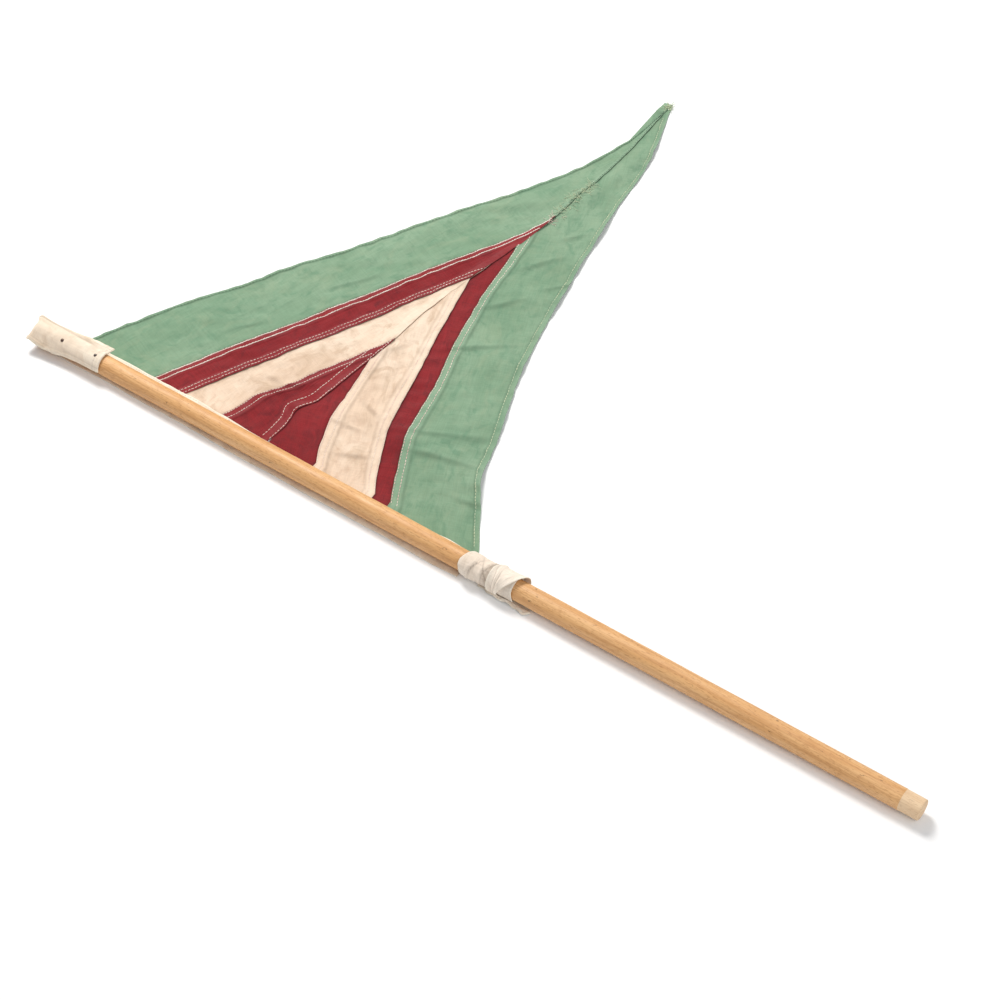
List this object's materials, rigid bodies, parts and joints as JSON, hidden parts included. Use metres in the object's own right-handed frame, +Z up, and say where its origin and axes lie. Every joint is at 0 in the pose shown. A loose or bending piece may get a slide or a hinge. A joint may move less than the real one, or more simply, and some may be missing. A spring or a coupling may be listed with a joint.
{
  "type": "hand signal pennant on a staff",
  "caption": "Hand-held signal pennant: triangular cotton pennant of nested green, red and cream chevrons on a canvas heading, tacked and tied to a varnished wooden staff.",
  "frame": {"origin": "centre of the staff's butt end face", "axes": "-X along the staff towards the end that carries the pennant, +Y from the staff towards the pennant's point, +Z up from the surface that the whole flag lies on"},
  "size_m": [0.9151, 0.623, 0.0222],
  "materials": {
    "wood": "honey-coloured gloss varnish, worn; bare pale wood at the butt tip",
    "canvas": "off-white cotton canvas tape, soft and creased",
    "green_cotton": "faded sage green plain-weave cotton",
    "red_cotton": "deep brick red plain-weave cotton",
    "cream_cotton": "aged cream plain-weave cotton, lightly stained",
    "white_thread": "white cotton sewing thread",
    "point_thread": "dark green cotton sewing thread",
    "tack_steel": "darkened steel"
  },
  "bodies": {
    "staff_assembly": {"staff": "wood", "heading_tape": "canvas", "end_tab": "canvas", "tacks": "tack_steel", "tie_turn_inner": "canvas", "tie_turn_outer": "canvas", "tie_tail": "canvas", "heading_thread": "white_thread", "tab_thread": "white_thread"},
    "pennant": {"green_panel_top": "green_cotton", "red_panel_top": "red_cotton", "cream_panel_top": "cream_cotton", "centre_panel_top": "red_cotton", "centre_panel_bottom": "red_cotton", "cream_panel_bottom": "cream_cotton", "red_panel_bottom": "red_cotton", "green_panel_bottom": "green_cotton", "centre_seam_thread": "white_thread", "point_seam_thread": "point_thread", "centre_cream_thread_top": "white_thread", "cream_red_thread_top": "white_thread", "red_green_thread_top": "white_thread", "centre_cream_thread_bottom": "white_thread", "cream_red_thread_bottom": "white_thread", "red_green_thread_bottom": "white_thread", "hem_thread_top": "white_thread", "hem_thread_bottom": "white_thread"}
  },
  "joints": [
    {"name": "pennant_swing", "type": "hinge", "parent": "staff_assembly", "child": "pennant", "pos_m": [-0.66, 0.02575, -0.0101], "axis": [1, 0, 0], "range_deg": [-90, 110]}
  ]
}
